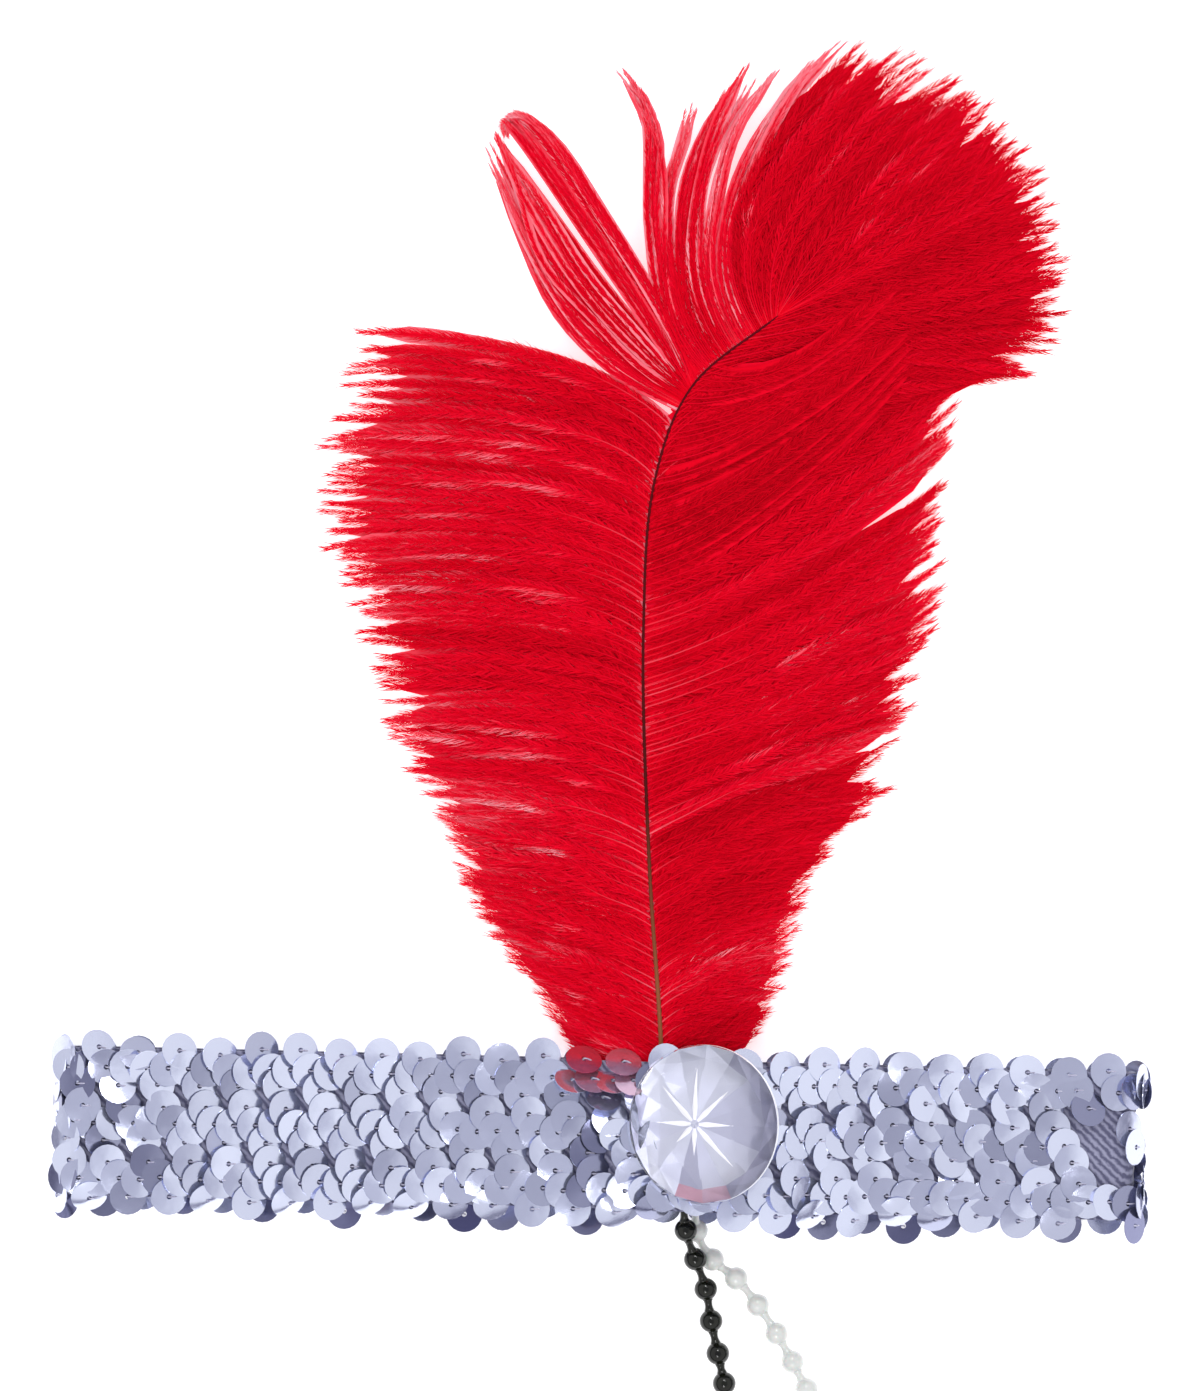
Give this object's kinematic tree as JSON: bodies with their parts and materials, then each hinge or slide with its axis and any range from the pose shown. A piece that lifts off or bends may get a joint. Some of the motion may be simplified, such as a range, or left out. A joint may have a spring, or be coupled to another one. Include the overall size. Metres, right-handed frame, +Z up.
{
  "type": "flapper headband",
  "caption": "Sequined stretch headband laid flat, with a curled ostrich plume, a round cut jewel on the front and two strings of beads, worn round the head.",
  "frame": {"origin": "centre of the folded band's underside, on the surface that it lies on", "axes": "+X along the folded band, +Y across it towards the plume's tip, +Z up through the front layer"},
  "size_m": [0.23, 0.2867, 0.0307],
  "materials": {
    "knit": "grey-violet stretch knit",
    "sequin": "lavender-silver metallised film",
    "jewel": "clear cut acrylic with a silver back",
    "glue": "set glue",
    "quill": "dyed horn, tan at the base and dark red above",
    "plume": "dyed ostrich barbs",
    "black_bead": "glossy moulded plastic",
    "pearl_bead": "pearl lustre on moulded plastic"
  },
  "bodies": {
    "root": {"band": "knit", "sequins": "sequin", "jewel": "jewel", "jewel_pad": "glue", "quill": "quill", "plume": "plume", "black_thread": "black_bead", "black_bead_1": "black_bead", "black_bead_2": "black_bead", "black_bead_3": "black_bead", "black_bead_4": "black_bead", "black_bead_5": "black_bead", "black_bead_6": "black_bead", "pearl_thread": "pearl_bead", "pearl_bead_1": "pearl_bead", "pearl_bead_2": "pearl_bead", "pearl_bead_3": "pearl_bead", "pearl_bead_4": "pearl_bead", "pearl_bead_5": "pearl_bead", "pearl_bead_6": "pearl_bead", "pearl_bead_7": "pearl_bead"}
  },
  "joints": []
}
